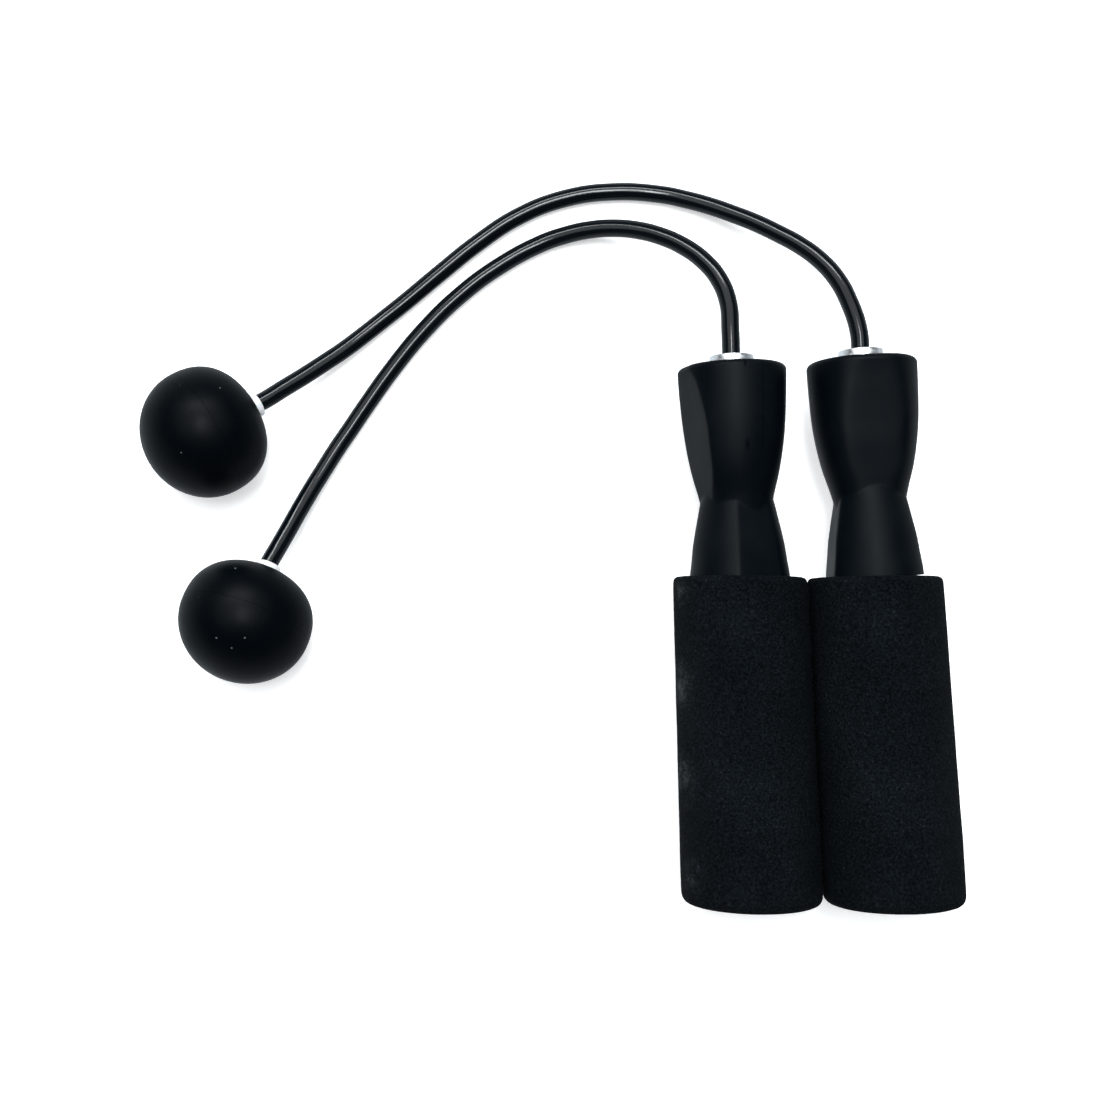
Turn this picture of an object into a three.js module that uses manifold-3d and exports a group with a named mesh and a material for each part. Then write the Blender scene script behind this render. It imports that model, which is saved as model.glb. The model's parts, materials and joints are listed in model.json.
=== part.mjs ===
// A cordless jump rope: two separate handle units lying side by side.
// Each unit is a foam-covered handle with a ball bearing in its neck, a short cord that spins in the
// bearing, and a weighted ball on the cord's far end.
// Millimetres, +Z up. The origin is on the floor, below the middle of everything but the cords.
// A handle is built around its own axis (+Y, s = 0 at the grip's lower end) and then laid down.
import * as THREE from "three";
import { mergeVertices } from "three/addons/utils/BufferGeometryUtils.js";
import Module from "manifold-3d";

const wasm = await Module();
wasm.setup();

// ---------- driving dimensions ----------

const GAP = 0.3; // clearance between pieces that meet

// Foam grip
const GRIP_LENGTH = 94.6;
const GRIP_BOTTOM_R = 20.35;
const GRIP_TOP_R = 19.5;
const TUBE_R = 12; // core tube under the foam

// Core: tube, flared shoulder above the grip, and the cup that holds the bearing
const TUBE_BOTTOM = 2.6;
const RIM = 156.5; // end of the cup
const BORE_R = 7;
const SHOULDER_BOTTOM = 150.5; // ledge under the bearing
const SHOULDER_R = 5.2;
const SEAT_DEPTH = 2.1; // how far the bearing sits into the cup
const PLUG_TOP = 10; // inner end of the plug that closes the tube

// Cup radius along the handle, widening from the waist to the rim
const CUP_OUTLINE = [
  [9, 108],
  [11.2, 118],
  [13.25, 125.1],
  [14.65, 132.2],
  [15.5, 139.3],
  [15.85, 146.4],
  [16.05, 153.5],
  [15.95, 154.7],
  [15.45, 155.8],
  [14.5, RIM],
];
// Distance from the axis of the two long scooped flats on the cup
const CUP_FLAT_OUTLINE = [
  [8.4, 105],
  [10, 117.75],
  [10.95, 125.7],
  [11.85, 132],
  [12.65, 139],
  [13.65, 145.5],
  [15.2, 153.5],
  [16.75, 158],
];
const CUP_FLAT_ANGLES = [-72, 112]; // degrees around the axis

// The flare's foot sits in a recess in the top of the grip
const RECESS_R = 15.1;
const RECESS_DEPTH = 2.1;
const FLARE_OUTLINE = [
  [14.7, GRIP_LENGTH - RECESS_DEPTH + GAP],
  [14.55, 94.9],
  [13.95, 99.3],
  [13.35, 104],
  [12.45, 108.6],
  [11.45, 113.3],
  [10.8, 116.2],
  [10.1, 118.4],
  [8.8, 120.8],
];
const FLARE_FLAT_RATIO = 0.89; // a flat's distance from the axis over the flare's radius
const FLARE_FLAT_ANGLES = [21, 201];

// Bearing, 6 x 13 x 5
const BEARING_WIDTH = 5;
const BEARING_BORE_R = 3;
const BEARING_OUTER_R = 6.5;
const PITCH_R = 4.75;
const BEARING_BALL_R = 0.85;
const BEARING_BALLS = 7;
const BEARING_START = RIM - SEAT_DEPTH + GAP;
const SHIELD_INNER_R = 4.35;
const SHIELD_OUTER_R = 5.6;
const SHIELD_THICKNESS = 0.3;
const SHIELD_INSET = 0.15; // how far a shield lies behind the bearing's face

// Cord and its stop inside the handle
const CORD_R = 2.7;
const CORD_SIDES = 10;
const CORD_STEP = 10; // length of one straight step of the tube
const WASHER_R = 4.9;
const WASHER_THICKNESS = 1.2;
const CRIMP_R = 4.3;
const CRIMP_LENGTH = 8;

// Weighted ball, a little flatter along the cord than across it. Its own axis is +Y, to the cord.
const BALL_ACROSS_R = 19.4;
const BALL_NEAR_R = 16.7; // half length on the cord's side, which is squarer
const BALL_NEAR_SQUARENESS = 0.85; // 1 is an ellipse, less is squarer
const BALL_FAR_R = 18;
const BALL_FACE = 16.1; // flat where the cord goes in
const POCKET_R = 10.3;
const POCKET_HALF = 9;
const WEIGHT_BORE_R = 5;
const BALL_CRIMP_START = -1.5;
const COLLAR_R = 3.7;
const COLLAR_LENGTH = 2.4;
const BALL_TILT = 20; // degrees that the cord's side points down

// Where each unit lies. lean turns the handle to the left, roll turns its core about its own axis, and
// slip is how far the core sits out of the grip.
const AXIS_HEIGHT = GRIP_BOTTOM_R;
const BALL_HEIGHT = 19.35;
const UNITS = {
  left: {
    handle: { x: 58.7, y: -79.45, lean: 1.82, roll: 0, slip: 0 },
    ball: { x: -89.15, y: 2.1, heading: 72 },
    route: [
      [54.1, 65, 20.35],
      [53.9, 72.5, 20.35],
      [53.6, 80.2, 20.35],
      [53.4, 87.5, 20.35],
      [52.9, 96.3, 19.4],
      [50.4, 103.6, 17.9],
      [46.1, 109.6, 16],
      [40.4, 114.5, 13.8],
      [33.8, 118.2, 11.5],
      [26.7, 120.7, 9.1],
      [19.4, 121.9, 6.9],
      [11.9, 121.8, 5],
      [4.6, 120.5, 3.6],
      [-2.4, 118.2, 2.9],
      [-15.8, 110.9, 2.8],
      [-27.7, 101.9, 2.8],
      [-38.5, 91.2, 2.8],
      [-47.9, 79.6, 2.8],
      [-56.6, 67.2, 2.9],
      [-60.7, 61, 3],
      [-64.8, 54.8, 3.4],
      [-68.6, 48.4, 4.3],
      [-72.3, 41.9, 5.6],
      [-75.8, 35.2, 7.3],
      [-79.2, 28.2, 9.6],
      [-81.5, 23.6, 11.2],
      [-83.7, 19, 13],
      [-84.8, 15.5, 14.2],
      [-87.1, 8.4, 17],
      [-89.9, -0.1, 20.2],
    ],
  },
  right: {
    handle: { x: 100, y: -79.45, lean: 2.95, roll: -110, slip: 1.8 },
    ball: { x: -101.9, y: 57.59, heading: 33 },
    route: [
      [92.5, 64.9, 20.35],
      [92.1, 72.4, 20.35],
      [91.7, 80, 20.35],
      [91.3, 87.3, 20.35],
      [88.5, 97.1, 19.3],
      [85, 104.4, 17.7],
      [80.5, 110.2, 15.7],
      [75, 115.1, 13.5],
      [68.8, 119.3, 11.1],
      [62.5, 123.1, 8.8],
      [55.9, 126.4, 6.6],
      [48.9, 129.4, 4.8],
      [41.9, 131.7, 3.5],
      [34.5, 133.4, 2.9],
      [19.6, 134.3, 2.8],
      [4.7, 132.2, 2.8],
      [-9.4, 126.7, 2.8],
      [-22, 118.4, 2.8],
      [-33.7, 108.9, 2.9],
      [-45.1, 99.3, 2.9],
      [-50.9, 94.6, 3.1],
      [-56.7, 89.8, 3.7],
      [-62.5, 85.1, 4.7],
      [-68.4, 80.7, 6.2],
      [-74.4, 76.3, 8],
      [-80.3, 72.1, 10.2],
      [-84.7, 68.8, 12.1],
      [-88.1, 66.6, 13.5],
      [-96.1, 61.3, 17],
      [-103.6, 56.5, 20.2],
    ],
  },
};

// ---------- materials ----------

const FINISHES = {
  foam: [0x17181b, 0.95, 0],
  plastic: [0x25282c, 0.5, 0],
  cord: [0x0d0f13, 0.15, 0],
  steel: [0xc9ccd0, 0.2, 1],
  cage: [0x9aa0a5, 0.35, 1],
  brass: [0xb08d4a, 0.35, 1],
  nylon: [0xd9dadb, 0.5, 0],
  ball: [0x1d2024, 0.6, 0],
};

function finish(name) {
  const [color, roughness, metalness] = FINISHES[name];
  return new THREE.MeshStandardMaterial({ color, roughness, metalness });
}

// ---------- shape tools ----------

// A solid of revolution about +Y. The outline runs anticlockwise: up the outside, down the inside.
function turned(outline, segments) {
  return new THREE.LatheGeometry(outline.map(([r, y]) => new THREE.Vector2(r, y)), segments);
}

function ring(inner, outer, bottom, top, segments) {
  const corners = [[inner, bottom], [outer, bottom], [outer, top], [inner, top], [inner, bottom]];
  return turned(corners, segments);
}

function disc(outer, bottom, top, segments) {
  return turned([[0, bottom], [outer, bottom], [outer, top], [0, top]], segments);
}

// A three.js geometry as a manifold solid, with its doubled vertices merged and its empty faces dropped
function solid(geometry) {
  const bare = new THREE.BufferGeometry();
  bare.setAttribute("position", geometry.getAttribute("position"));
  bare.setIndex(geometry.getIndex());
  const merged = mergeVertices(bare, 1e-4);
  const index = merged.getIndex().array;
  const corners = [];
  for (let i = 0; i < index.length; i += 3) {
    const [a, b, c] = [index[i], index[i + 1], index[i + 2]];
    if (a !== b && b !== c && c !== a) corners.push(a, b, c);
  }
  const vertProperties = new Float32Array(merged.getAttribute("position").array);
  const triVerts = new Uint32Array(corners);
  return new wasm.Manifold(new wasm.Mesh({ numProp: 3, vertProperties, triVerts }));
}

function geometryOf(body) {
  const mesh = body.getMesh();
  const geometry = new THREE.BufferGeometry();
  geometry.setAttribute("position", new THREE.BufferAttribute(mesh.vertProperties, 3));
  geometry.setIndex(new THREE.BufferAttribute(mesh.triVerts, 1));
  geometry.computeVertexNormals();
  return geometry;
}

// The material outside a flat: its outline (distance from the axis, height) carried across the part
function flatCutter(outline, angle) {
  const reach = 26;
  const width = 60;
  const first = outline[0];
  const last = outline[outline.length - 1];
  const corners = [...outline, [reach, last[1]], [reach, first[1]]];
  const shape = new THREE.Shape(corners.map(([x, y]) => new THREE.Vector2(x, y)));
  const block = new THREE.ExtrudeGeometry(shape, { depth: width, bevelEnabled: false });
  block.translate(0, 0, -width / 2);
  block.rotateY(THREE.MathUtils.degToRad(angle - 90));
  return solid(block);
}

function cutFlats(body, outline, angles) {
  return angles.reduce((left, angle) => left.subtract(flatCutter(outline, angle)), body);
}

function place(parent, name, geometry, finishName) {
  const mesh = new THREE.Mesh(geometry, finish(finishName));
  mesh.name = name;
  parent.add(mesh);
  return mesh;
}

// ---------- handle ----------

function gripGeometry() {
  const inner = TUBE_R + GAP;
  return turned(
    [
      [inner, 0],
      [GRIP_BOTTOM_R - 2.4, 0],
      [GRIP_BOTTOM_R - 0.7, 0.8],
      [GRIP_BOTTOM_R, 3],
      [GRIP_BOTTOM_R, 14],
      [GRIP_TOP_R, GRIP_LENGTH - 3],
      [GRIP_TOP_R - 0.5, GRIP_LENGTH - 0.9],
      [GRIP_TOP_R - 1.8, GRIP_LENGTH],
      [RECESS_R, GRIP_LENGTH],
      [RECESS_R, GRIP_LENGTH - RECESS_DEPTH],
      [inner, GRIP_LENGTH - RECESS_DEPTH],
      [inner, 0],
    ],
    36,
  );
}

function coreGeometry() {
  const segments = 40;
  const cup = solid(turned([[0, CUP_OUTLINE[0][1]], ...CUP_OUTLINE, [0, RIM]], segments));
  const flareTop = FLARE_OUTLINE[FLARE_OUTLINE.length - 1][1];
  const flareBottom = FLARE_OUTLINE[0][1];
  const flareRound = turned([[0, flareBottom], ...FLARE_OUTLINE, [0, flareTop]], segments);
  const flareFlat = FLARE_OUTLINE.map(([r, y]) => [r * FLARE_FLAT_RATIO, y]);
  flareFlat[0][1] -= 1;
  flareFlat[flareFlat.length - 1][1] += 1;
  const flare = cutFlats(solid(flareRound), flareFlat, FLARE_FLAT_ANGLES);
  const tube = solid(disc(TUBE_R, TUBE_BOTTOM, flareBottom + 1, segments));
  const seatBottom = RIM - SEAT_DEPTH;
  const bore = turned(
    [
      [0, TUBE_BOTTOM - 1],
      [BORE_R, TUBE_BOTTOM - 1],
      [BORE_R, SHOULDER_BOTTOM],
      [SHOULDER_R, SHOULDER_BOTTOM],
      [SHOULDER_R, seatBottom],
      [BEARING_OUTER_R + GAP, seatBottom],
      [BEARING_OUTER_R + GAP, RIM + 1],
      [0, RIM + 1],
    ],
    32,
  );
  const body = cutFlats(cup, CUP_FLAT_OUTLINE, CUP_FLAT_ANGLES).add(flare).add(tube);
  return geometryOf(body.subtract(solid(bore)));
}

// A flanged plug that closes the core's lower end
function plugGeometry() {
  const flangeR = TUBE_R - GAP;
  const plugR = BORE_R - GAP;
  const flangeTop = TUBE_BOTTOM - GAP;
  const flange = [[0, GAP], [flangeR, GAP], [flangeR, flangeTop]];
  const stem = [[plugR, flangeTop], [plugR, PLUG_TOP], [0, PLUG_TOP]];
  return turned([...flange, ...stem], 24);
}

// ---------- bearing, built with its rear face at 0 ----------

const RACE_SEGMENTS = 24;
const GROOVE = { land: 0.9, bottom: 0.4 }; // half-widths of a raceway groove at its edge and its floor
const MID = BEARING_WIDTH / 2;

function outerRaceGeometry() {
  const land = 5.45;
  const floor = 5.75;
  const rebate = 5.8;
  const rebateDepth = 0.6;
  return turned(
    [
      [rebate, 0],
      [BEARING_OUTER_R - 0.25, 0],
      [BEARING_OUTER_R, 0.25],
      [BEARING_OUTER_R, BEARING_WIDTH - 0.25],
      [BEARING_OUTER_R - 0.25, BEARING_WIDTH],
      [rebate, BEARING_WIDTH],
      [rebate, BEARING_WIDTH - rebateDepth],
      [land, BEARING_WIDTH - rebateDepth],
      [land, MID + GROOVE.land],
      [floor, MID + GROOVE.bottom],
      [floor, MID - GROOVE.bottom],
      [land, MID - GROOVE.land],
      [land, rebateDepth],
      [rebate, rebateDepth],
      [rebate, 0],
    ],
    RACE_SEGMENTS,
  );
}

function innerRaceGeometry() {
  const land = 4.05;
  const floor = 3.75;
  return turned(
    [
      [BEARING_BORE_R, 0],
      [land, 0],
      [land, MID - GROOVE.land],
      [floor, MID - GROOVE.bottom],
      [floor, MID + GROOVE.bottom],
      [land, MID + GROOVE.land],
      [land, BEARING_WIDTH],
      [BEARING_BORE_R, BEARING_WIDTH],
      [BEARING_BORE_R, 0],
    ],
    RACE_SEGMENTS,
  );
}

// A ring in front of the balls with one finger between each pair
function cageGeometry() {
  const ringBottom = MID + BEARING_BALL_R + 0.1;
  const fingerBottom = MID - 0.5;
  let cage = solid(ring(4.5, 5, ringBottom, ringBottom + 0.4, RACE_SEGMENTS));
  const height = ringBottom + 0.2 - fingerBottom;
  for (let i = 0; i < BEARING_BALLS; i += 1) {
    const finger = new THREE.BoxGeometry(0.9, height, 0.4);
    finger.translate(0, fingerBottom + height / 2, PITCH_R);
    finger.rotateY((2 * Math.PI * (i + 0.5)) / BEARING_BALLS);
    cage = cage.add(solid(finger));
  }
  return geometryOf(cage);
}

function addBearing(handle, side) {
  const bearing = new THREE.Group();
  bearing.position.y = BEARING_START;
  handle.add(bearing);
  const shields = { front: BEARING_WIDTH - SHIELD_INSET - SHIELD_THICKNESS, rear: SHIELD_INSET };
  place(bearing, `${side}_bearing_outer_race`, outerRaceGeometry(), "steel");
  place(bearing, `${side}_bearing_inner_race`, innerRaceGeometry(), "steel");
  place(bearing, `${side}_bearing_cage`, cageGeometry(), "cage");
  for (const [end, bottom] of Object.entries(shields)) {
    const top = bottom + SHIELD_THICKNESS;
    const shield = ring(SHIELD_INNER_R, SHIELD_OUTER_R, bottom, top, RACE_SEGMENTS);
    place(bearing, `${side}_bearing_shield_${end}`, shield, "steel");
  }
  for (let i = 0; i < BEARING_BALLS; i += 1) {
    const angle = (2 * Math.PI * i) / BEARING_BALLS;
    const name = `${side}_bearing_ball_${i + 1}`;
    const ball = place(bearing, name, new THREE.IcosahedronGeometry(BEARING_BALL_R, 1), "steel");
    ball.position.set(PITCH_R * Math.sin(angle), MID, PITCH_R * Math.cos(angle));
  }
}

function addHandle(assembly, side, { x, y, lean, roll, slip }) {
  const laid = new THREE.Group();
  laid.position.set(x, y, AXIS_HEIGHT);
  laid.rotation.z = THREE.MathUtils.degToRad(lean);
  assembly.add(laid);
  place(laid, `${side}_foam_grip`, gripGeometry(), "foam");
  const handle = new THREE.Group();
  handle.position.y = slip;
  laid.add(handle);
  place(handle, `${side}_end_plug`, plugGeometry(), "plastic");
  const core = place(handle, `${side}_handle_core`, coreGeometry(), "plastic");
  core.rotation.y = THREE.MathUtils.degToRad(roll);
  addBearing(handle, side);
  const washerTop = BEARING_START - GAP;
  const washerBottom = washerTop - WASHER_THICKNESS;
  const crimpTop = washerBottom - GAP;
  const hole = CORD_R + GAP;
  const washer = ring(hole, WASHER_R, washerBottom, washerTop, 20);
  place(handle, `${side}_stop_washer`, washer, "steel");
  const crimp = ring(hole, CRIMP_R, crimpTop - CRIMP_LENGTH, crimpTop, 16);
  place(handle, `${side}_stop_crimp`, crimp, "brass");
}

// ---------- weighted ball ----------

const BALL_SEGMENTS = 32;
const SEAM_GAP = 0.15; // half of the gap between the two halves

// Outline of one half from the seam to its end, with heights closer together near the end
function ballOutline(along, end, squareness, steps) {
  const points = [];
  const last = Math.asin((end / along) ** (1 / squareness));
  const first = Math.asin((SEAM_GAP / along) ** (1 / squareness));
  for (let i = 0; i <= steps; i += 1) {
    const angle = first + ((last - first) * i) / steps;
    const radius = BALL_ACROSS_R * Math.max(Math.cos(angle), 0) ** squareness;
    points.push([radius, along * Math.sin(angle) ** squareness]);
  }
  return points;
}

function nearHalfGeometry() {
  const hole = CORD_R + 0.4;
  const outer = ballOutline(BALL_NEAR_R, BALL_FACE, BALL_NEAR_SQUARENESS, 7);
  const inner = [[hole, BALL_FACE], [hole, POCKET_HALF], [POCKET_R, POCKET_HALF], [POCKET_R, SEAM_GAP]];
  return turned([...outer, ...inner, outer[0]], BALL_SEGMENTS);
}

function farHalfGeometry() {
  const outer = ballOutline(BALL_FAR_R, BALL_FAR_R, 1, 7).map(([r, y]) => [r, -y]);
  outer[outer.length - 1][0] = 0;
  const inner = [[POCKET_R, -SEAM_GAP], [POCKET_R, -POCKET_HALF], [0, -POCKET_HALF]];
  return turned([...outer.reverse(), ...inner], BALL_SEGMENTS);
}

function addBall(assembly, side, { x, y, heading }) {
  const turn = THREE.MathUtils.degToRad(heading);
  const tilt = THREE.MathUtils.degToRad(BALL_TILT);
  const flat = Math.cos(tilt);
  const toCord = new THREE.Vector3(flat * Math.cos(turn), flat * Math.sin(turn), -Math.sin(tilt));
  const ball = new THREE.Group();
  ball.position.set(x, y, BALL_HEIGHT);
  ball.quaternion.setFromUnitVectors(new THREE.Vector3(0, 1, 0), toCord);
  assembly.add(ball);
  const hole = CORD_R + GAP;
  const weightHalf = POCKET_HALF - GAP;
  const weight = ring(WEIGHT_BORE_R, POCKET_R - GAP, -weightHalf, weightHalf, 24);
  const crimp = ring(hole, CRIMP_R, BALL_CRIMP_START, BALL_CRIMP_START + CRIMP_LENGTH, 16);
  const collarBottom = BALL_FACE + GAP;
  const collar = ring(hole, COLLAR_R, collarBottom, collarBottom + COLLAR_LENGTH, 20);
  place(ball, `${side}_ball_half_near`, nearHalfGeometry(), "ball");
  place(ball, `${side}_ball_half_far`, farHalfGeometry(), "ball");
  place(ball, `${side}_ball_weight`, weight, "steel");
  place(ball, `${side}_ball_crimp`, crimp, "brass");
  place(ball, `${side}_ball_collar`, collar, "nylon");
}

// ---------- cord ----------

function addCord(assembly, side, route) {
  const path = new THREE.CatmullRomCurve3(route.map((point) => new THREE.Vector3(...point)));
  const corners = [];
  for (let i = 0; i < CORD_SIDES; i += 1) {
    const angle = (2 * Math.PI * i) / CORD_SIDES;
    corners.push(new THREE.Vector2(CORD_R * Math.cos(angle), CORD_R * Math.sin(angle)));
  }
  const steps = Math.ceil(path.getLength() / CORD_STEP);
  const options = { steps, extrudePath: path, bevelEnabled: false };
  place(assembly, `${side}_cord`, new THREE.ExtrudeGeometry(new THREE.Shape(corners), options), "cord");
}

// ---------- assembly ----------

const assembly = new THREE.Group();
for (const [side, unit] of Object.entries(UNITS)) {
  addHandle(assembly, side, unit.handle);
  addBall(assembly, side, unit.ball);
  addCord(assembly, side, unit.route);
}

export default assembly;
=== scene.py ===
"""Looks of a cordless jump rope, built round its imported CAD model. Lengths are in metres."""
import json
import math

import bpy
import numpy as np
from mathutils import Matrix, Vector, noise


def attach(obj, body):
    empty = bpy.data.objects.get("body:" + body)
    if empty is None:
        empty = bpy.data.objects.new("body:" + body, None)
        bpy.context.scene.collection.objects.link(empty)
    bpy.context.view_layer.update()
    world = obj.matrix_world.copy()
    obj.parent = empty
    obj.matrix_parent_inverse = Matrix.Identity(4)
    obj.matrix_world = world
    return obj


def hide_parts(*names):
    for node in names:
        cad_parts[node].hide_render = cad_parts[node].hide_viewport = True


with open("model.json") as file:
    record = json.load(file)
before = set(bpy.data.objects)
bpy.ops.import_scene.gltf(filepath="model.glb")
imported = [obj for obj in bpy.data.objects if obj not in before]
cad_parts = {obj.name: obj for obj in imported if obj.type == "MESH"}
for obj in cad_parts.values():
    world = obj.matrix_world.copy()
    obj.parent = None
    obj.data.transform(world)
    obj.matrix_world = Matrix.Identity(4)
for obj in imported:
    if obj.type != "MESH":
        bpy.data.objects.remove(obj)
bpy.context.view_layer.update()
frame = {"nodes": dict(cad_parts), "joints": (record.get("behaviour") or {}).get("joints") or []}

MM = 0.001
SIDES = ("left", "right")
JOINTS = {joint["name"]: joint for joint in frame["joints"]}
NODES = frame["nodes"]

# ---------- sizes, in millimetres and degrees ----------
# An outline's points are (distance from the piece's axis, place along it)

FOAM_LENGTH = 94.6
FOAM_BOTTOM_R = 20.35
FOAM_TOP_R = 19.5
FOAM_BORE_R = 12.3
FOAM_SKEW = 0.04  # the sleeves' ends are cut slightly askew
TUBE_R = 12
TUBE_BOTTOM = 2.6
FLARE_BOTTOM = 92.8
RECESS_R = 15.1
RECESS_BOTTOM = 92.5
RIM = 156.5
BORE_R = 7
SHOULDER_BOTTOM = 150.5
SHOULDER_R = 5.2
SEAT_BOTTOM = 154.4
SEAT_R = 6.8
BEARING_START = 154.7
BEARING_WIDTH = 5
BEARING_R = 6.5
CORD_R = 2.7
CUP_ONLY_ABOVE = 122.5
FLARE_ONLY_BELOW = 108

CUP_OUTLINE = [
    (9, 108), (11.2, 118), (13.25, 125.1), (14.65, 132.2), (15.5, 139.3),
    (15.85, 146.4), (16.05, 153.5), (16.1, 158),
]
CUP_FLAT_OUTLINE = [
    (8.4, 105), (10, 117.75), (10.95, 125.7), (11.85, 132), (12.65, 139), (13.65, 145.5),
    (15.2, 153.5), (16.75, 158),
]
CUP_FLAT_ANGLES = (-72, 112)
CUP_CREASES = (0.3, 1.4)  # softness of each flat's edges
FLARE_OUTLINE = [
    (14.7, 92.8), (14.55, 94.9), (13.95, 99.3), (13.35, 104), (12.45, 108.6),
    (11.45, 113.3), (10.8, 116.2), (10.1, 118.4), (8.8, 120.8),
]
FLARE_FLAT_RATIO = 0.89
FLARE_FLAT_ANGLES = (21, 201)
FLARE_CREASE = 0.3
WAIST_CREASE = 0.2
NECK_ROW = 0.26  # from one ring of points to the next
PARTING_ANGLES = (26, 206)
PARTING_R = 15  # about where the two parting grooves run
PARTING_DEPTH = 0.03
PARTING_HALF_WIDTH = 0.13
PARTING_DULL = (0.14, 0.30)  # half width of the line's dull middle, and of the whole line
PARTING_START = (129, 132)  # the dull line fades in between these heights
RIM_EDGE_R = 1.7
ROLL = {"left": 0, "right": -110}
SLIP = {"left": 0, "right": 1.8}  # how far a core sits out of its grip

BALL_ACROSS_R = 19.4
BALL_NEAR_R = 16.7  # half length on the cord's side, which is squarer
BALL_NEAR_SQUARENESS = 0.85  # 1 is an ellipse, less is squarer
BALL_FAR_R = 18
BALL_FACE = 16.1
BALL_HOLE_R = 3.1
POCKET_R = 10.3
POCKET_HALF = 9
SEAM_GAP = 0.045
COLLAR_R = 3.7
COLLAR_HOLE_R = 3
COLLAR_BOTTOM = 16.4
COLLAR_TOP = 18.8

# ---------- cords, in metres ----------
# Each cord's route runs from inside its handle to inside its ball

ROUTES = {
    "left": [
        (0.0541, 0.0650, 0.02035), (0.0539, 0.0725, 0.02035), (0.0536, 0.0802, 0.02035),
        (0.0534, 0.0875, 0.02035), (0.0529, 0.0963, 0.0194), (0.0504, 0.1036, 0.0179),
        (0.0461, 0.1096, 0.0160), (0.0404, 0.1145, 0.0138), (0.0338, 0.1182, 0.0115),
        (0.0267, 0.1207, 0.0091), (0.0194, 0.1219, 0.0069), (0.0119, 0.1218, 0.0050),
        (0.0046, 0.1205, 0.0036), (-0.0024, 0.1182, 0.0029), (-0.0158, 0.1109, 0.0028),
        (-0.0277, 0.1019, 0.0028), (-0.0385, 0.0912, 0.0028), (-0.0479, 0.0796, 0.0028),
        (-0.0566, 0.0672, 0.0029), (-0.0607, 0.0610, 0.0030), (-0.0648, 0.0548, 0.0034),
        (-0.0686, 0.0484, 0.0043), (-0.0723, 0.0419, 0.0056), (-0.0758, 0.0352, 0.0073),
        (-0.0792, 0.0282, 0.0096), (-0.0815, 0.0236, 0.0112), (-0.0837, 0.0190, 0.0130),
        (-0.0848, 0.0155, 0.0142), (-0.0871, 0.0084, 0.0170), (-0.0899, -0.0001, 0.0202),
    ],
    "right": [
        (0.0925, 0.0649, 0.02035), (0.0921, 0.0724, 0.02035), (0.0917, 0.0800, 0.02035),
        (0.0913, 0.0873, 0.02035), (0.0885, 0.0971, 0.0193), (0.0850, 0.1044, 0.0177),
        (0.0805, 0.1102, 0.0157), (0.0750, 0.1151, 0.0135), (0.0688, 0.1193, 0.0111),
        (0.0625, 0.1231, 0.0088), (0.0559, 0.1264, 0.0066), (0.0489, 0.1294, 0.0048),
        (0.0419, 0.1317, 0.0035), (0.0345, 0.1334, 0.0029), (0.0196, 0.1343, 0.0028),
        (0.0047, 0.1322, 0.0028), (-0.0094, 0.1267, 0.0028), (-0.0220, 0.1184, 0.0028),
        (-0.0337, 0.1089, 0.0029), (-0.0451, 0.0993, 0.0029), (-0.0509, 0.0946, 0.0031),
        (-0.0567, 0.0898, 0.0037), (-0.0625, 0.0851, 0.0047), (-0.0684, 0.0807, 0.0062),
        (-0.0744, 0.0763, 0.0080), (-0.0803, 0.0721, 0.0102), (-0.0847, 0.0688, 0.0121),
        (-0.0881, 0.0666, 0.0135), (-0.0961, 0.0613, 0.0170), (-0.1036, 0.0565, 0.0202),
    ],
}

# ---------- painted sheen on the foam, and dented and dusty places, in millimetres ---
# Each is (point on the piece's own axes, full within, gone beyond)

# Pale patches of painted sheen on the left grip's left flank, where light from the left catches the foam
FOAM_PAINTED_SHEEN_SPOTS = [
    ((-19.2, 64, 5.5), 1, 9),
    ((-19.2, 37, 5.5), 1, 9.5),
    ((-19.7, 91, 7.2), 0.5, 6),
    ((-21.2, 9, 11.3), 0.5, 8.5),
]
NECK_DENTS = [
    ((6.5, 139.4, 14.0), 0.15, 0.5),
    ((1.9, 131.7, 14.5), 0.2, 0.9),
    ((1.9, 155.2, 15.8), 0.2, 0.6),
]
DENT_SQUASH = 0.35  # a dent's width over its length along the neck
DUST = {
    "left": [
        ((-2.9, -11.5, 14.6), 0.15, 0.35),
        ((4.8, -9.3, 15.9), 0.15, 0.35),
        ((2, -12.7, 13.7), 0.15, 0.35),
        ((-5.2, 9.2, 16.4), 0.18, 0.4),
    ],
    "right": [
        ((5.1, -11.7, 13.8), 0.1, 0.3),
        ((-5.2, 7, 17.5), 0.1, 0.3),
    ],
}


# ---------- camera and light, in metres ----------

CAMERA_PLACE = (0.00015, 0.00195, 0.46535)
CAMERA_PITCH = 2.71  # degrees away from straight down
CAMERA_LENS = 49.75
LIGHT_COLOR = (0.94, 0.98, 1.0)
# Each light's place, size and power
LIGHTS = {
    "key": ((-0.06, 0.45, 1.20), (2.0, 1.4), 20),
    "near_strip": ((0.04, 0.22, 1.25), (0.13, 0.42), 7),
    "far_strip": ((-0.15, 1.10, 1.20), (1.0, 0.12), 14),
}
# The studio's colour from straight down, at 0, to straight up, at 1
STUDIO_COLORS = [
    (0.0, (0.46, 0.51, 0.55)),
    (0.44, (0.53, 0.59, 0.63)),
    (0.54, (0.23, 0.25, 0.265)),
    (0.70, (0.044, 0.047, 0.05)),
]
STUDIO_STRENGTH = (1.9, 1.3)  # on the far left and on the far right
FLOOR_HALF = 4
FLOOR_DROP = 0.0002
FLOOR_GLOW = 0.5


def make_camera():
    data = bpy.data.cameras.new("camera")
    data.sensor_width = 36
    data.lens = CAMERA_LENS
    data.clip_start = 0.01
    camera = bpy.data.objects.new("camera", data)
    camera.location = CAMERA_PLACE
    camera.rotation_euler = (math.radians(CAMERA_PITCH), 0, 0)
    bpy.context.scene.collection.objects.link(camera)
    bpy.context.scene.camera = camera


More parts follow.
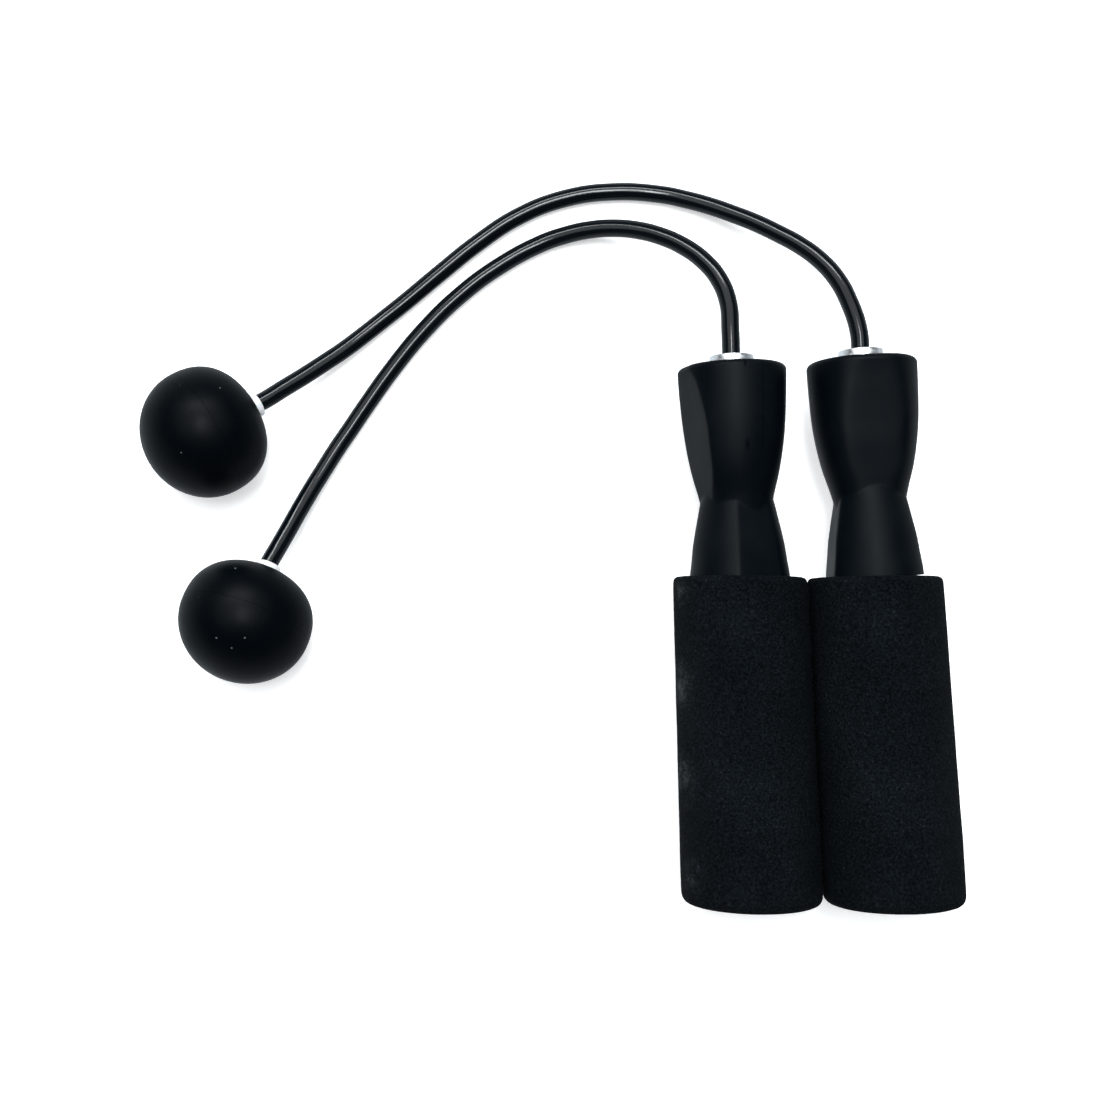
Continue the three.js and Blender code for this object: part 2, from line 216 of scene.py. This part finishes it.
def area_light(name, location, size, power):
    """A rectangular light that faces the frame's origin."""
    data = bpy.data.lights.new(name, "AREA")
    data.shape = "RECTANGLE"
    data.size, data.size_y = size
    data.energy = power
    data.color = LIGHT_COLOR
    light = bpy.data.objects.new(name, data)
    light.location = location
    light.rotation_euler = (-Vector(location)).to_track_quat("-Z", "Y").to_euler()
    bpy.context.scene.collection.objects.link(light)


def make_world():
    """A studio that is pale low on the left, dimmer on the right, and dark overhead."""
    world = bpy.data.worlds.new("studio")
    world.use_nodes = True
    tree = world.node_tree
    background = tree.nodes["Background"]
    coordinates = tree.nodes.new("ShaderNodeTexCoord")
    parts = tree.nodes.new("ShaderNodeSeparateXYZ")
    tree.links.new(coordinates.outputs["Generated"], parts.inputs[0])
    height = ranged(tree, parts.outputs["Z"], -1, 1, 0, 1)
    tree.links.new(colors_of(tree, height, STUDIO_COLORS), background.inputs["Color"])
    strength = ranged(tree, parts.outputs["X"], -1, 1, *STUDIO_STRENGTH)
    tree.links.new(strength, background.inputs["Strength"])
    bpy.context.scene.world = world


def make_floor():
    """A pale table that also glows, so shadows on it stay faint. Glossy pieces don't reflect it."""
    half = FLOOR_HALF
    corners = [(-half, -half, 0), (half, -half, 0), (half, half, 0), (-half, half, 0)]
    mesh = bpy.data.meshes.new("floor")
    mesh.from_pydata(corners, [], [(0, 1, 2, 3)])
    floor = bpy.data.objects.new("floor", mesh)
    floor.location.z = -FLOOR_DROP
    floor.visible_glossy = False
    bpy.context.scene.collection.objects.link(floor)
    material, shader, tree = new_material("floor", (0.92, 0.92, 0.92), 0.9, specular=0.0)
    shader.inputs["Emission Color"].default_value = (1, 1, 1, 1)
    shader.inputs["Emission Strength"].default_value = FLOOR_GLOW
    mesh.materials.append(material)


# ---------- materials ----------

def new_material(name, color, roughness, metallic=0.0, specular=0.5):
    material = bpy.data.materials.new(name)
    material.use_nodes = True
    shader = material.node_tree.nodes["Principled BSDF"]
    shader.inputs["Base Color"].default_value = (*color, 1)
    shader.inputs["Roughness"].default_value = roughness
    shader.inputs["Metallic"].default_value = metallic
    shader.inputs["Specular IOR Level"].default_value = specular
    return material, shader, material.node_tree


def texture_space(tree, scale=(1, 1, 1)):
    """Object coordinates in metres, stretched by scale."""
    coordinates = tree.nodes.new("ShaderNodeTexCoord")
    mapping = tree.nodes.new("ShaderNodeMapping")
    mapping.inputs["Scale"].default_value = scale
    tree.links.new(coordinates.outputs["Object"], mapping.inputs["Vector"])
    return mapping.outputs["Vector"]


def noise_of(tree, space, scale, detail=3.0):
    node = tree.nodes.new("ShaderNodeTexNoise")
    node.inputs["Scale"].default_value = scale
    node.inputs["Detail"].default_value = detail
    node.inputs["Roughness"].default_value = 0.55
    tree.links.new(space, node.inputs["Vector"])
    return node.outputs["Fac"]


def cells_of(tree, space, scale):
    """Distance to the nearest of many scattered points."""
    node = tree.nodes.new("ShaderNodeTexVoronoi")
    node.inputs["Scale"].default_value = scale
    tree.links.new(space, node.inputs["Vector"])
    return node.outputs["Distance"]


def ranged(tree, value, low, high, out_low, out_high):
    """The value moved from the range low to high into out_low to out_high, and kept inside it."""
    node = tree.nodes.new("ShaderNodeMapRange")
    limits = {"From Min": low, "From Max": high, "To Min": out_low, "To Max": out_high}
    for name, number in limits.items():
        node.inputs[name].default_value = number
    tree.links.new(value, node.inputs["Value"])
    return node.outputs["Result"]


def math_of(tree, operation, first, second):
    node = tree.nodes.new("ShaderNodeMath")
    node.operation = operation
    for socket, value in zip(node.inputs, (first, second)):
        if isinstance(value, (int, float)):
            socket.default_value = value
        else:
            tree.links.new(value, socket)
    return node.outputs[0]


def spot_of(tree, space, center, near, far):
    """1 within near of a point and 0 beyond far, in millimetres along the piece's own axes."""
    node = tree.nodes.new("ShaderNodeVectorMath")
    node.operation = "DISTANCE"
    node.inputs[1].default_value = [number * MM for number in center]
    tree.links.new(space, node.inputs[0])
    return ranged(tree, node.outputs["Value"], far * MM, near * MM, 0, 1)


def spots_of(tree, space, spots):
    """The strongest of several spots, each (center, near, far)."""
    total = 0.0
    for center, near, far in spots:
        total = math_of(tree, "MAXIMUM", total, spot_of(tree, space, center, near, far))
    return total


def colors_of(tree, value, stops):
    """A colour ramp: stops are (position, (r, g, b))."""
    node = tree.nodes.new("ShaderNodeValToRGB")
    elements = node.color_ramp.elements
    while len(elements) < len(stops):
        elements.new(0.5)
    for element, (position, color) in zip(elements, stops):
        element.position = position
        element.color = (*color, 1)
    tree.links.new(value, node.inputs[0])
    return node.outputs["Color"]


def bump(tree, shader, heights):
    """Adds bumps: heights are (value, distance in metres, strength)."""
    normal = None
    for value, distance, strength in heights:
        node = tree.nodes.new("ShaderNodeBump")
        node.inputs["Distance"].default_value = distance
        node.inputs["Strength"].default_value = strength
        tree.links.new(value, node.inputs["Height"])
        if normal is not None:
            tree.links.new(normal, node.inputs["Normal"])
        normal = node.outputs["Normal"]
    tree.links.new(normal, shader.inputs["Normal"])


def foam_material(name, painted_sheen_spots=()):
    """Fine-grained foam, with pale patches of painted sheen where light catches it."""
    material, shader, tree = new_material(name, (0.003, 0.004, 0.005), 0.95, specular=0.04)
    space = texture_space(tree)
    grain = noise_of(tree, space, 1500, 2)
    cells = cells_of(tree, space, 1300)
    patches = noise_of(tree, space, 45, 2)
    uneven = ranged(tree, noise_of(tree, space, 260, 3), 0.38, 0.58, 0.25, 1.0)
    # Painted sheen: pale patches where light from the left catches the foam
    painted_sheen = math_of(tree, "MULTIPLY", spots_of(tree, space, painted_sheen_spots), uneven)
    pale = math_of(tree, "MULTIPLY", grain, 0.8)
    pale = math_of(tree, "ADD", pale, math_of(tree, "MULTIPLY", patches, 0.25))
    pale = math_of(tree, "ADD", pale, math_of(tree, "MULTIPLY", painted_sheen, 0.38))
    color = colors_of(tree, pale, [
        (0.40, (0.0006, 0.0013, 0.0020)),
        (0.66, (0.0048, 0.0066, 0.0084)),
        (1.0, (0.036, 0.040, 0.044)),
    ])
    tree.links.new(color, shader.inputs["Base Color"])
    bump(tree, shader, [(cells, 0.00035, 0.6), (grain, 0.00025, 0.8)])
    return material


def neck_material(name, dents=()):
    """Satin plastic with a thin, dull parting line on its cup, and small dull dents."""
    material, shader, tree = new_material(name, (0.0012, 0.0024, 0.004), 0.45, specular=0.06)
    space = texture_space(tree)
    patches = noise_of(tree, space, 60, 3)
    grain = noise_of(tree, space, 2600, 2)
    squashed = [((x, y * DENT_SQUASH, z), near, far) for (x, y, z), near, far in dents]
    dented = spots_of(tree, texture_space(tree, (1, DENT_SQUASH, 1)), squashed)
    color = colors_of(tree, patches, [
        (0.36, (0.0005, 0.0016, 0.0030)),
        (0.7, (0.0014, 0.0028, 0.0042)),
    ])
    tree.links.new(color, shader.inputs["Base Color"])
    tree.links.new(ranged(tree, patches, 0.3, 0.7, 0.40, 0.50), shader.inputs["Roughness"])
    parts = tree.nodes.new("ShaderNodeSeparateXYZ")
    tree.links.new(space, parts.inputs[0])
    turn = math.radians(PARTING_ANGLES[0])
    beside = math_of(
        tree, "SUBTRACT",
        math_of(tree, "MULTIPLY", parts.outputs["X"], math.cos(turn)),
        math_of(tree, "MULTIPLY", parts.outputs["Z"], math.sin(turn)),
    )
    middle, edge = PARTING_DULL
    line = ranged(tree, math_of(tree, "ABSOLUTE", beside, 0), middle * MM, edge * MM, 0, 1)
    start, full = PARTING_START
    below = ranged(tree, parts.outputs["Y"], start * MM, full * MM, 1, 0)
    smooth = math_of(tree, "SUBTRACT", math_of(tree, "MAXIMUM", line, below), dented)
    tree.links.new(ranged(tree, smooth, 0, 1, 0.01, 0.06), shader.inputs["Specular IOR Level"])
    bump(tree, shader, [(grain, 0.00003, 0.5), (smooth, 0.00004, 0.6)])
    return material


def ball_material(name, dust_spots=()):
    """Satin plastic with a few grains of dust."""
    material, shader, tree = new_material(name, (0.0003, 0.0011, 0.0020), 0.44, specular=0.05)
    space = texture_space(tree)
    patches = noise_of(tree, space, 70, 4)
    specks = cells_of(tree, space, 160)
    dust = ranged(tree, specks, 0.032, 0.022, 0.0, 0.3)
    dust = math_of(tree, "MAXIMUM", dust, spots_of(tree, space, dust_spots))
    color = colors_of(tree, dust, [(0.0, (0.0003, 0.0011, 0.0020)), (1.0, (0.09, 0.10, 0.11))])
    tree.links.new(color, shader.inputs["Base Color"])
    tree.links.new(ranged(tree, patches, 0.3, 0.7, 0.38, 0.50), shader.inputs["Roughness"])
    grain = noise_of(tree, space, 1800, 2)
    bump(tree, shader, [(patches, 0.0004, 0.35), (grain, 0.00003, 0.4)])
    return material


def cord_material():
    material, shader, tree = new_material("cord_pvc", (0.0012, 0.0024, 0.0038), 0.15, specular=0.24)
    space = texture_space(tree)
    waves = noise_of(tree, space, 220, 2)
    tree.links.new(ranged(tree, waves, 0.3, 0.7, 0.12, 0.18), shader.inputs["Roughness"])
    bump(tree, shader, [(noise_of(tree, space, 420, 2), 0.00004, 0.3)])
    return material


def metal_material(name, color, roughness, depth=0.00002):
    material, shader, tree = new_material(name, color, roughness, metallic=1.0)
    grain = noise_of(tree, texture_space(tree), 900, 3)
    dull = ranged(tree, grain, 0.25, 0.75, roughness * 0.7, roughness * 1.4)
    tree.links.new(dull, shader.inputs["Roughness"])
    dark = tuple(channel * 0.72 for channel in color)
    tree.links.new(colors_of(tree, grain, [(0.3, dark), (0.65, color)]), shader.inputs["Base Color"])
    bump(tree, shader, [(grain, depth, 0.5)])
    return material


def collar_material():
    material, shader, tree = new_material("collar_nylon", (0.75, 0.76, 0.77), 0.45)
    shader.inputs["Subsurface Weight"].default_value = 0.15
    shader.inputs["Subsurface Scale"].default_value = 0.001
    space = texture_space(tree)
    grain = noise_of(tree, space, 900, 3)
    color = colors_of(tree, grain, [(0.3, (0.62, 0.63, 0.65)), (0.7, (0.80, 0.81, 0.82))])
    tree.links.new(color, shader.inputs["Base Color"])
    bump(tree, shader, [(grain, 0.00003, 0.4)])
    return material


# ---------- mesh tools ----------

SHARP_EDGE = 35  # degrees
FACING_COSINE = 0.2
FACES_AWAY_R = 60.0


def frame_at(joint_name, roll=0.0, slip=0.0):
    """The matrix whose +Y is a joint's axis, and whose origin is slip millimetres along it."""
    joint = JOINTS[joint_name]
    along = Vector(joint["axis"]).normalized()
    across = along.cross(Vector((0, 0, 1))).normalized()
    up = across.cross(along)
    turn = Matrix((across, along, up)).transposed().to_4x4()
    shift = Matrix.Translation((0, slip * MM, 0))
    rolled = Matrix.Rotation(math.radians(roll), 4, "Y")
    return Matrix.Translation(joint["pos_m"]) @ turn @ shift @ rolled


def add_mesh(name, points, faces, matrix, material, body, node):
    """Adds a piece made in millimetres, which rides on a body in place of a CAD node."""
    mesh = bpy.data.meshes.new(name)
    mesh.from_pydata([tuple(p) for p in np.asarray(points) * MM], [], faces)
    mesh.validate()
    mesh.shade_smooth()
    mesh.set_sharp_from_angle(angle=math.radians(SHARP_EDGE))
    mesh.materials.append(material)
    piece = bpy.data.objects.new(name, mesh)
    bpy.context.scene.collection.objects.link(piece)
    piece.matrix_world = matrix
    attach(piece, body)
    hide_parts(node)
    return piece


def rings_mesh(rings):
    """Points and faces of a closed skin through rings of equal length; the last ring joins the first."""
    count = len(rings[0])
    points = np.concatenate(rings)
    faces = []
    for j in range(len(rings)):
        k = (j + 1) % len(rings)
        for i in range(count):
            n = (i + 1) % count
            faces.append((j * count + i, j * count + n, k * count + n, k * count + i))
    return points, faces


def around(angles, radius, height):
    """A ring of points about +Y at these angles from +Z towards +X."""
    radius = np.broadcast_to(radius, angles.shape)
    height = np.broadcast_to(height, angles.shape)
    return np.stack([radius * np.sin(angles), height, radius * np.cos(angles)], axis=1)


def rounded(outline, radius, steps=4, closed=True):
    """An (r, s) outline with each corner made an arc, a smaller one where its sides are short."""
    count = len(outline)
    made = []
    for i, corner in enumerate(outline):
        if not closed and i in (0, count - 1):
            made.append(corner)
            continue
        here = np.array(corner, float)
        before = np.array(outline[i - 1], float) - here
        after = np.array(outline[(i + 1) % count], float) - here
        reach = min(radius, 0.45 * np.linalg.norm(before), 0.45 * np.linalg.norm(after))
        start = here + before / np.linalg.norm(before) * reach
        end = here + after / np.linalg.norm(after) * reach
        for t in np.linspace(0, 1, steps):
            point = (1 - t) ** 2 * start + 2 * t * (1 - t) * here + t**2 * end
            made.append((float(point[0]), float(point[1])))
    return made


def turned_rings(outline, segments):
    """A closed (r, s) outline turned about +Y."""
    angles = np.linspace(0, 2 * math.pi, segments, endpoint=False)
    return rings_mesh([around(angles, r, s) for r, s in outline])


def turned_solid(outline, segments):
    """An (r, s) outline that starts and ends on the axis, turned about +Y."""
    angles = np.linspace(0, 2 * math.pi, segments, endpoint=False)
    rings = [around(angles, r, s) for r, s in outline[1:-1]]
    ends = [np.array([[0, s, 0]]) for s in (outline[0][1], outline[-1][1])]
    points = np.concatenate(rings + ends)
    faces = []
    for j in range(len(rings) - 1):
        for i in range(segments):
            n = (i + 1) % segments
            a, b = j * segments, (j + 1) * segments
            faces.append((a + i, a + n, b + n, b + i))
    first, last = len(points) - 2, len(points) - 1
    top = (len(rings) - 1) * segments
    for i in range(segments):
        n = (i + 1) % segments
        faces.append((first, n, i))
        faces.append((last, top + i, top + n))
    return points, faces


def smooth_curve(points, heights):
    """Values of a smooth curve through (value, height) points."""
    known = np.array(points, float)
    values, at = known[:, 0], known[:, 1]
    slopes = np.gradient(values, at)
    index = np.clip(np.searchsorted(at, heights) - 1, 0, len(at) - 2)
    width = at[index + 1] - at[index]
    t = np.clip((heights - at[index]) / width, 0, 1)
    h00 = 2 * t**3 - 3 * t**2 + 1
    h10 = t**3 - 2 * t**2 + t
    h01 = -2 * t**3 + 3 * t**2
    h11 = t**3 - t**2
    return (
        h00 * values[index] + h10 * width * slopes[index]
        + h01 * values[index + 1] + h11 * width * slopes[index + 1]
    )


def soft_min(a, b, softness):
    return 0.5 * (a + b - np.sqrt((a - b) ** 2 + softness**2))


def soft_max(a, b, softness):
    return 0.5 * (a + b + np.sqrt((a - b) ** 2 + softness**2))


def flat_radius(distance, angles, flat_angle):
    """Radius at which a flat at this distance from the axis is met, large where it faces away."""
    cosine = np.cos(angles - math.radians(flat_angle))
    away = distance / np.maximum(cosine, FACING_COSINE)
    return np.where(cosine > FACING_COSINE, away, FACES_AWAY_R)


# ---------- cords ----------

def add_cord(side, material):
    curve = bpy.data.curves.new(f"{side}_cord_fine", "CURVE")
    curve.dimensions = "3D"
    curve.bevel_depth = CORD_R * MM
    curve.bevel_resolution = 7
    curve.resolution_u = 10
    curve.use_fill_caps = True
    route = ROUTES[side]
    spline = curve.splines.new("BEZIER")
    spline.bezier_points.add(len(route) - 1)
    for point, place in zip(spline.bezier_points, route):
        point.co = place
        point.handle_left_type = "AUTO"
        point.handle_right_type = "AUTO"
    curve.materials.append(material)
    cord = bpy.data.objects.new(f"{side}_cord_fine", curve)
    bpy.context.scene.collection.objects.link(cord)
    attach(cord, f"{side}_rotor")
    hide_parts(f"{side}_cord")


# ---------- foam grip ----------

FOAM_TAPER_START = 14
FOAM_CORNER_R = 3.2
FOAM_SEGMENTS = 224
FOAM_ROW = 0.55
# The foam's unevenness: (size, depth)
FOAM_BROAD = (9, 0.10)
FOAM_FINE = (0.8, 0.05)
FOAM_EVEN_WALL = 4  # beside the bore, where the unevenness fades in
FOAM_GRAIN_PLACE = {"left": 0, "right": 40}


def foam_outline():
    """Outside (r, s) of the sleeve from its lower inner corner to its upper inner corner."""
    corners = [
        (FOAM_BORE_R, 0), (FOAM_BOTTOM_R, 0), (FOAM_BOTTOM_R, FOAM_TAPER_START),
        (FOAM_TOP_R, FOAM_LENGTH), (RECESS_R, FOAM_LENGTH),
    ]
    return rounded(corners, FOAM_CORNER_R, 7, closed=False)


def foam_rows():
    """The outline in steps small enough to carry the unevenness."""
    outline = foam_outline()
    rows = []
    for (r0, s0), (r1, s1) in zip(outline, outline[1:]):
        parts = max(1, round(math.hypot(r1 - r0, s1 - s0) / FOAM_ROW))
        for k in range(parts):
            t = k / parts
            rows.append((r0 + (r1 - r0) * t, s0 + (s1 - s0) * t))
    return [*rows, outline[-1]]


def uneven(place, side, amount):
    """A point of the sleeve moved in or out a little, and skewed with the sleeve's ends."""
    here = Vector(place)
    where = here + Vector([FOAM_GRAIN_PLACE[side]] * 3)
    bulge = 0
    for size, depth in (FOAM_BROAD, FOAM_FINE):
        bulge += noise.noise(where / size) * depth
    out = Vector((here.x, 0, here.z)).normalized()
    return here + out * bulge * amount + Vector((0, -FOAM_SKEW * here.x, 0))


def add_foam(side, material):
    angles = np.linspace(0, 2 * math.pi, FOAM_SEGMENTS, endpoint=False)
    rings = []
    for r, s in foam_rows():
        amount = min(1.0, max(0.0, (r - FOAM_BORE_R) / FOAM_EVEN_WALL))
        rings.append(np.array([uneven(place, side, amount) for place in around(angles, r, s)]))
    rings.append(around(angles, RECESS_R, RECESS_BOTTOM))
    rings += [around(angles, FOAM_BORE_R, s) for s in np.linspace(RECESS_BOTTOM, 0, 6)[:-1]]
    points, faces = rings_mesh(rings)
    piece = add_mesh(
        f"{side}_foam_sleeve", points, faces, frame_at(f"{side}_cord_spin"), material,
        f"{side}_handle", f"{side}_foam_grip",
    )


# ---------- handle neck ----------

def neck_radius(angles, height):
    """Radius of the cup and the flare at one height: round, cut by their flats, and grooved."""
    cup = smooth_curve(CUP_OUTLINE, height)
    flat = smooth_curve(CUP_FLAT_OUTLINE, height)
    for flat_angle, crease in zip(CUP_FLAT_ANGLES, CUP_CREASES):
        cup = soft_min(cup, flat_radius(flat, angles, flat_angle), crease)
    for angle in PARTING_ANGLES:
        away = np.angle(np.exp(1j * (angles - math.radians(angle)))) * PARTING_R
        cup = cup - PARTING_DEPTH * np.exp(-((away / PARTING_HALF_WIDTH) ** 2))
    flare = smooth_curve(FLARE_OUTLINE, height)
    flare_flat = flare * FLARE_FLAT_RATIO
    for flat_angle in FLARE_FLAT_ANGLES:
        flare = soft_min(flare, flat_radius(flare_flat, angles, flat_angle), FLARE_CREASE)
    if height < FLARE_ONLY_BELOW:
        return flare
    if height > CUP_ONLY_ABOVE:
        return cup
    return soft_max(cup, flare, WAIST_CREASE)


def neck_angles():
    """One step a degree, with finer ones across the parting grooves."""
    base = np.linspace(0, 2 * math.pi, 360, endpoint=False)
    fine = [
        math.radians(angle) + offset / PARTING_R
        for angle in PARTING_ANGLES
        for offset in (-0.3, -0.2, -0.13, -0.06, 0, 0.06, 0.13, 0.2, 0.3)
    ]
    return np.unique(np.round(np.concatenate([base, fine]), 6))


def add_neck(side, material):
    angles = neck_angles()
    edge = RIM_EDGE_R
    rings = [around(angles, TUBE_R, s) for s in (TUBE_BOTTOM, 40, 80, FLARE_BOTTOM)]
    for s in np.arange(FLARE_BOTTOM, RIM - edge, NECK_ROW):
        rings.append(around(angles, neck_radius(angles, float(s)), s))
    rim = neck_radius(angles, RIM - edge)
    for step in np.linspace(0, math.pi / 2, 9):
        radius = rim - edge * (1 - math.cos(step))
        rings.append(around(angles, radius, RIM - edge + edge * math.sin(step)))
    inside = [
        (11, RIM), (SEAT_R + 0.3, RIM), (SEAT_R, RIM - 0.3), (SEAT_R, SEAT_BOTTOM),
        (SHOULDER_R, SEAT_BOTTOM), (SHOULDER_R, SHOULDER_BOTTOM), (BORE_R, SHOULDER_BOTTOM),
        (BORE_R, 75), (BORE_R, TUBE_BOTTOM),
    ]
    rings += [around(angles, r, s) for r, s in inside]
    points, faces = rings_mesh(rings)
    matrix = frame_at(f"{side}_cord_spin", ROLL[side], SLIP[side])
    add_mesh(
        f"{side}_handle_neck", points, faces, matrix, material,
        f"{side}_handle", f"{side}_handle_core",
    )


def add_plug(side, material):
    dish = [(0.0, 0.9), (6.2, 0.9), (6.8, 0.35)]
    wall = [(7.0, 0.3), (11.7, 0.3), (11.7, 2.3), (6.7, 2.3), (6.7, 10), (0.001, 10)]
    outline = [*dish, *rounded(wall, 0.4, 4, closed=False)[1:], (0, 10)]
    points, faces = turned_solid(outline, 96)
    matrix = frame_at(f"{side}_cord_spin", slip=SLIP[side])
    add_mesh(
        f"{side}_end_plug_fine", points, faces, matrix, material,
        f"{side}_handle", f"{side}_end_plug",
    )


# ---------- bearing ----------

def add_bearing(side, steel, shield):
    matrix = frame_at(f"{side}_cord_spin", slip=SLIP[side])
    back = BEARING_START
    front = back + BEARING_WIDTH
    outer = [
        (5.8, back), (BEARING_R, back), (BEARING_R, front), (5.8, front), (5.8, front - 0.6),
        (5.45, front - 0.6), (5.45, back + 3.4), (5.75, back + 2.9), (5.75, back + 2.1),
        (5.45, back + 1.6), (5.45, back + 0.6), (5.8, back + 0.6),
    ]
    inner = [
        (3, back), (4.05, back), (4.05, back + 1.6), (3.75, back + 2.1), (3.75, back + 2.9),
        (4.05, back + 3.4), (4.05, front), (3, front),
    ]
    plate = [
        (4.35, front - 0.45), (5.6, front - 0.45), (5.6, front - 0.1), (5.35, front - 0.15),
        (5.2, front - 0.3), (4.5, front - 0.3), (4.35, front - 0.15),
    ]
    for name, outline, radius, material, body, node in (
        ("outer_race", outer, 0.3, steel, "handle", "bearing_outer_race"),
        ("inner_race", inner, 0.2, steel, "rotor", "bearing_inner_race"),
        ("shield", plate, 0.1, shield, "handle", "bearing_shield_front"),
    ):
        points, faces = turned_rings(rounded(outline, radius, 4), 96)
        add_mesh(
            f"{side}_{name}_fine", points, faces, matrix, material,
            f"{side}_{body}", f"{side}_{node}",
        )


# ---------- ball ----------

BALL_STEPS = 44
BALL_SEGMENTS = 144
HALVES_GAP = 0.05  # from the seam's plane to a half's inner edge


def ball_shell(along, end, squareness, sign):
    """(r, s) points of the ball's outside from the seam to one end, with a fine lip at the seam."""
    first = math.asin((SEAM_GAP / along) ** (1 / squareness))
    last = math.asin((end / along) ** (1 / squareness))
    points = [
        (BALL_ACROSS_R - 0.10, sign * SEAM_GAP * 0.3),
        (BALL_ACROSS_R - 0.01, sign * SEAM_GAP * 0.7),
    ]
    for angle in np.linspace(first, last, BALL_STEPS):
        height = along * math.sin(angle) ** squareness
        radius = BALL_ACROSS_R * max(math.cos(angle), 0.0) ** squareness
        points.append((radius, sign * height))
    return points


def near_half():
    """Points and faces of the half on the cord's side, which has the cord's hole."""
    shell = ball_shell(BALL_NEAR_R, BALL_FACE, BALL_NEAR_SQUARENESS, 1)
    inside = [
        (BALL_HOLE_R, BALL_FACE), (BALL_HOLE_R, POCKET_HALF),
        (POCKET_R, POCKET_HALF), (POCKET_R, HALVES_GAP),
    ]
    return turned_rings(shell + inside, BALL_SEGMENTS)


def far_half():
    """Points and faces of the other half, which is whole."""
    shell = ball_shell(BALL_FAR_R, BALL_FAR_R, 1, -1)
    shell[-1] = (0.0, -BALL_FAR_R)
    inside = [(0.0, -POCKET_HALF), (POCKET_R, -POCKET_HALF), (POCKET_R, -HALVES_GAP)]
    points, faces = turned_solid(inside + shell, BALL_SEGMENTS)
    return points, [face[::-1] for face in faces]


def collar_ring():
    corners = [
        (COLLAR_HOLE_R, COLLAR_BOTTOM), (COLLAR_R, COLLAR_BOTTOM),
        (COLLAR_R, COLLAR_TOP), (COLLAR_HOLE_R, COLLAR_TOP),
    ]
    return turned_rings(rounded(corners, 0.25, 4), 72)


def add_ball(side, material, collar):
    matrix = frame_at(f"{side}_ball_swivel")
    for name, (points, faces), finish, body, slot, node in (
        ("ball_near", near_half(), material, "weight", "ball_plastic", "ball_half_near"),
        ("ball_far", far_half(), material, "weight", "ball_plastic", "ball_half_far"),
        ("collar", collar_ring(), collar, "rotor", "collar_nylon", "ball_collar"),
    ):
        add_mesh(
            f"{side}_{name}", points, faces, matrix, finish, f"{side}_{body}", f"{side}_{node}",
        )


# ---------- the scene ----------

make_camera()
make_world()
make_floor()
for name, (place, size, power) in LIGHTS.items():
    area_light(name, place, size, power)
bpy.context.scene.view_settings.view_transform = "Standard"

foams = {
    # The left grip carries the pale patches of painted sheen
    "left": foam_material("foam_left", FOAM_PAINTED_SHEEN_SPOTS),
    "right": foam_material("foam_right"),
}
necks = {
    "left": neck_material("neck_plastic_left", NECK_DENTS),
    "right": neck_material("neck_plastic_right"),
}
balls = {side: ball_material(f"ball_plastic_{side}", DUST[side]) for side in SIDES}
cord_finish = cord_material()
steel = metal_material("bearing_steel", (0.90, 0.91, 0.92), 0.36)
shield = metal_material("shield_steel", (0.80, 0.81, 0.82), 0.40)
cage = metal_material("cage_steel", (0.50, 0.51, 0.53), 0.35)
brass = metal_material("crimp_brass", (0.62, 0.43, 0.18), 0.35)
weight = metal_material("weight_steel", (0.30, 0.30, 0.31), 0.55, depth=0.00008)
collar = collar_material()

for side in SIDES:
    add_cord(side, cord_finish)
for side in SIDES:
    add_foam(side, foams[side])
    add_neck(side, necks[side])
    add_plug(side, necks[side])
    add_bearing(side, steel, shield)
    add_ball(side, balls[side], collar)

# CAD nodes that stay as they are get their finish here
kept = {
    "bearing_shield_rear": shield,
    "bearing_cage": cage,
    "stop_washer": steel,
    "stop_crimp": brass,
    "ball_crimp": brass,
    "ball_weight": weight,
}
kept.update({f"bearing_ball_{i}": steel for i in range(1, 8)})
for side in SIDES:
    for node, material in kept.items():
        materials = NODES[f"{side}_{node}"].data.materials
        materials.clear()
        materials.append(material)
